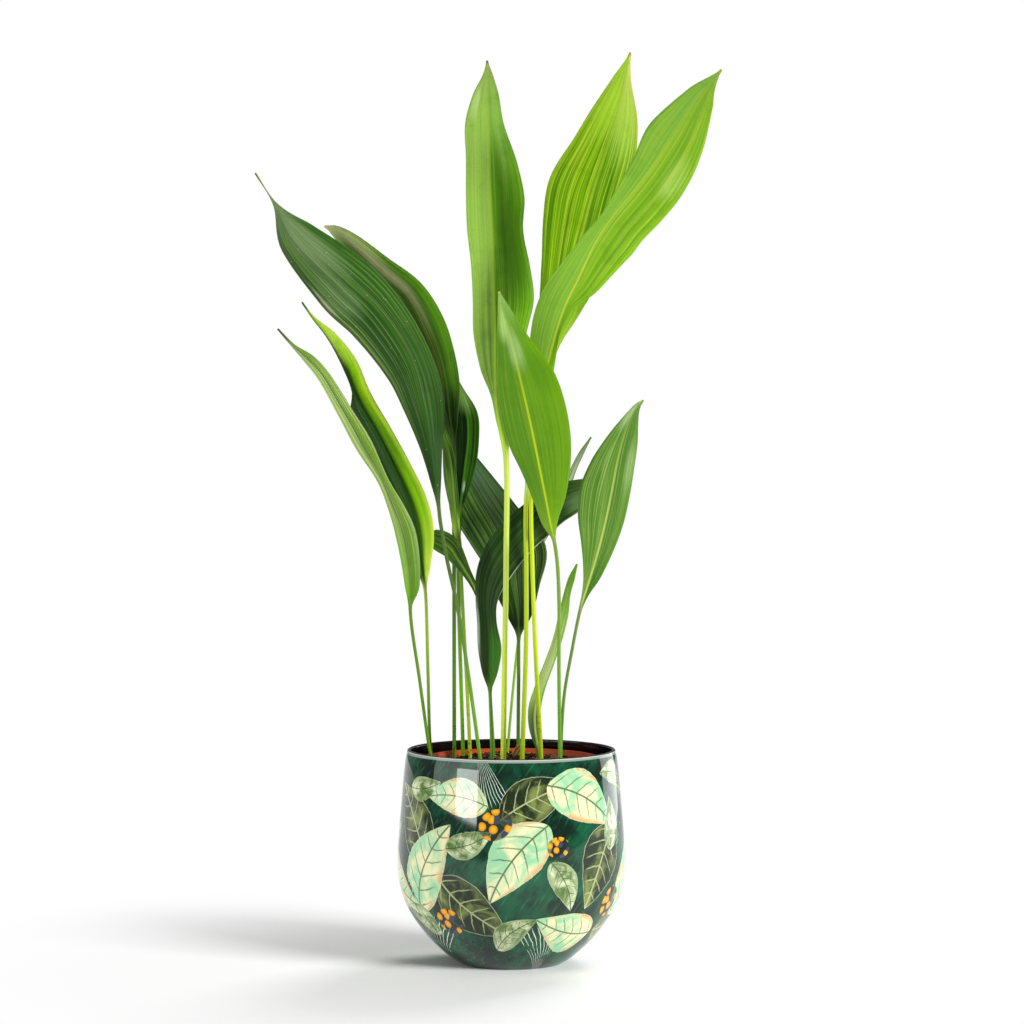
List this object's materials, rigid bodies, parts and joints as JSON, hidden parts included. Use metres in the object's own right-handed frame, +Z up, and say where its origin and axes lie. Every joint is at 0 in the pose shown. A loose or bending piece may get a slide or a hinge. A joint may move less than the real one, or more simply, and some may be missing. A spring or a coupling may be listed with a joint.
{
  "type": "potted cast iron plant",
  "caption": "Cast iron plant with long-stemmed strap leaves rising from soil in a plastic nursery pot, set in a rounded glossy planter with a leafy print.",
  "frame": {"origin": "middle of the planter's foot, on the surface that it stands on", "axes": "+Z up; the pictured front faces -Y; +X is the picture's right"},
  "size_m": [0.3938, 0.2056, 0.8018],
  "materials": {
    "glazed_planter": "high gloss glaze over a printed leafy pattern on dark green, black inside",
    "nursery_plastic": "moulded plastic, terracotta colour, satin",
    "potting_soil": "coarse damp potting mix with bark and fibres",
    "dry_sheath": "dry papery leaf sheath",
    "dark_leaf": "leathery dark green leaf, satin, fine lengthwise veins",
    "green_leaf": "leathery fresh green leaf, satin, fine lengthwise veins",
    "bright_leaf": "young yellow-green leaf, satin, light shows through it"
  },
  "bodies": {
    "root": {"planter": "glazed_planter", "nursery_pot": "nursery_plastic", "soil": "potting_soil", "dry_sheath": "dry_sheath", "leaf_long_dark_left": "dark_leaf", "leaf_dark_behind_left": "dark_leaf", "leaf_dark_crumpled": "dark_leaf", "leaf_dark_arching": "dark_leaf", "leaf_dark_broad": "dark_leaf", "leaf_small_dark_left": "dark_leaf", "leaf_narrow_edge_on": "green_leaf", "leaf_outermost_left": "green_leaf", "leaf_tall_middle": "green_leaf", "leaf_long_right": "green_leaf", "leaf_front_middle": "green_leaf", "leaf_small_right": "green_leaf", "leaf_slender_back": "green_leaf", "leaf_young_right": "green_leaf", "leaf_bright_left": "bright_leaf", "leaf_glowing_right": "bright_leaf"}
  },
  "joints": []
}
